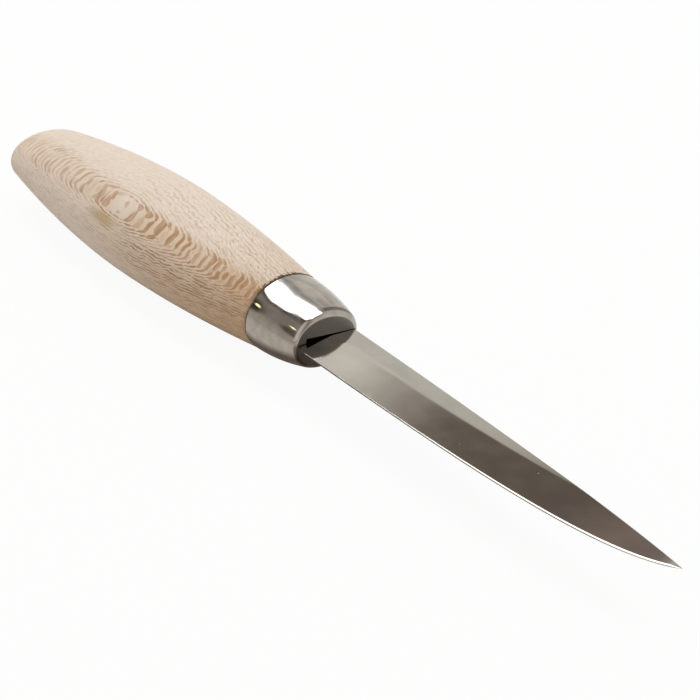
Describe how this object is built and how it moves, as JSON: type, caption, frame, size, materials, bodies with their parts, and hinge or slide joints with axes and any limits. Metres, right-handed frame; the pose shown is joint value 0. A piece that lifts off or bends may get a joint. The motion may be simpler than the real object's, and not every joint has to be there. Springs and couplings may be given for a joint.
{
  "type": "sloyd knife",
  "caption": "Fixed-blade wood carving knife with an oval barrel handle of flecked wood, a polished slotted ferrule and a slim steel blade ground with two long bevels.",
  "frame": {"origin": "middle of the small flat on the handle's butt", "axes": "+X along the knife from the butt to the tip, +Y towards the spine, +Z out of the blade's upper flat, so the knife lies on its side"},
  "size_m": [0.1852, 0.027, 0.0204],
  "materials": {
    "handle_wood": "quarter-cut wood with ray flecks, sanded and oiled",
    "ferrule_metal": "polished",
    "blade_steel": "polished",
    "cured_glue": "cured glue"
  },
  "bodies": {
    "root": {"handle": "handle_wood", "ferrule": "ferrule_metal", "blade": "blade_steel", "tang_adhesive": "cured_glue"}
  },
  "joints": []
}
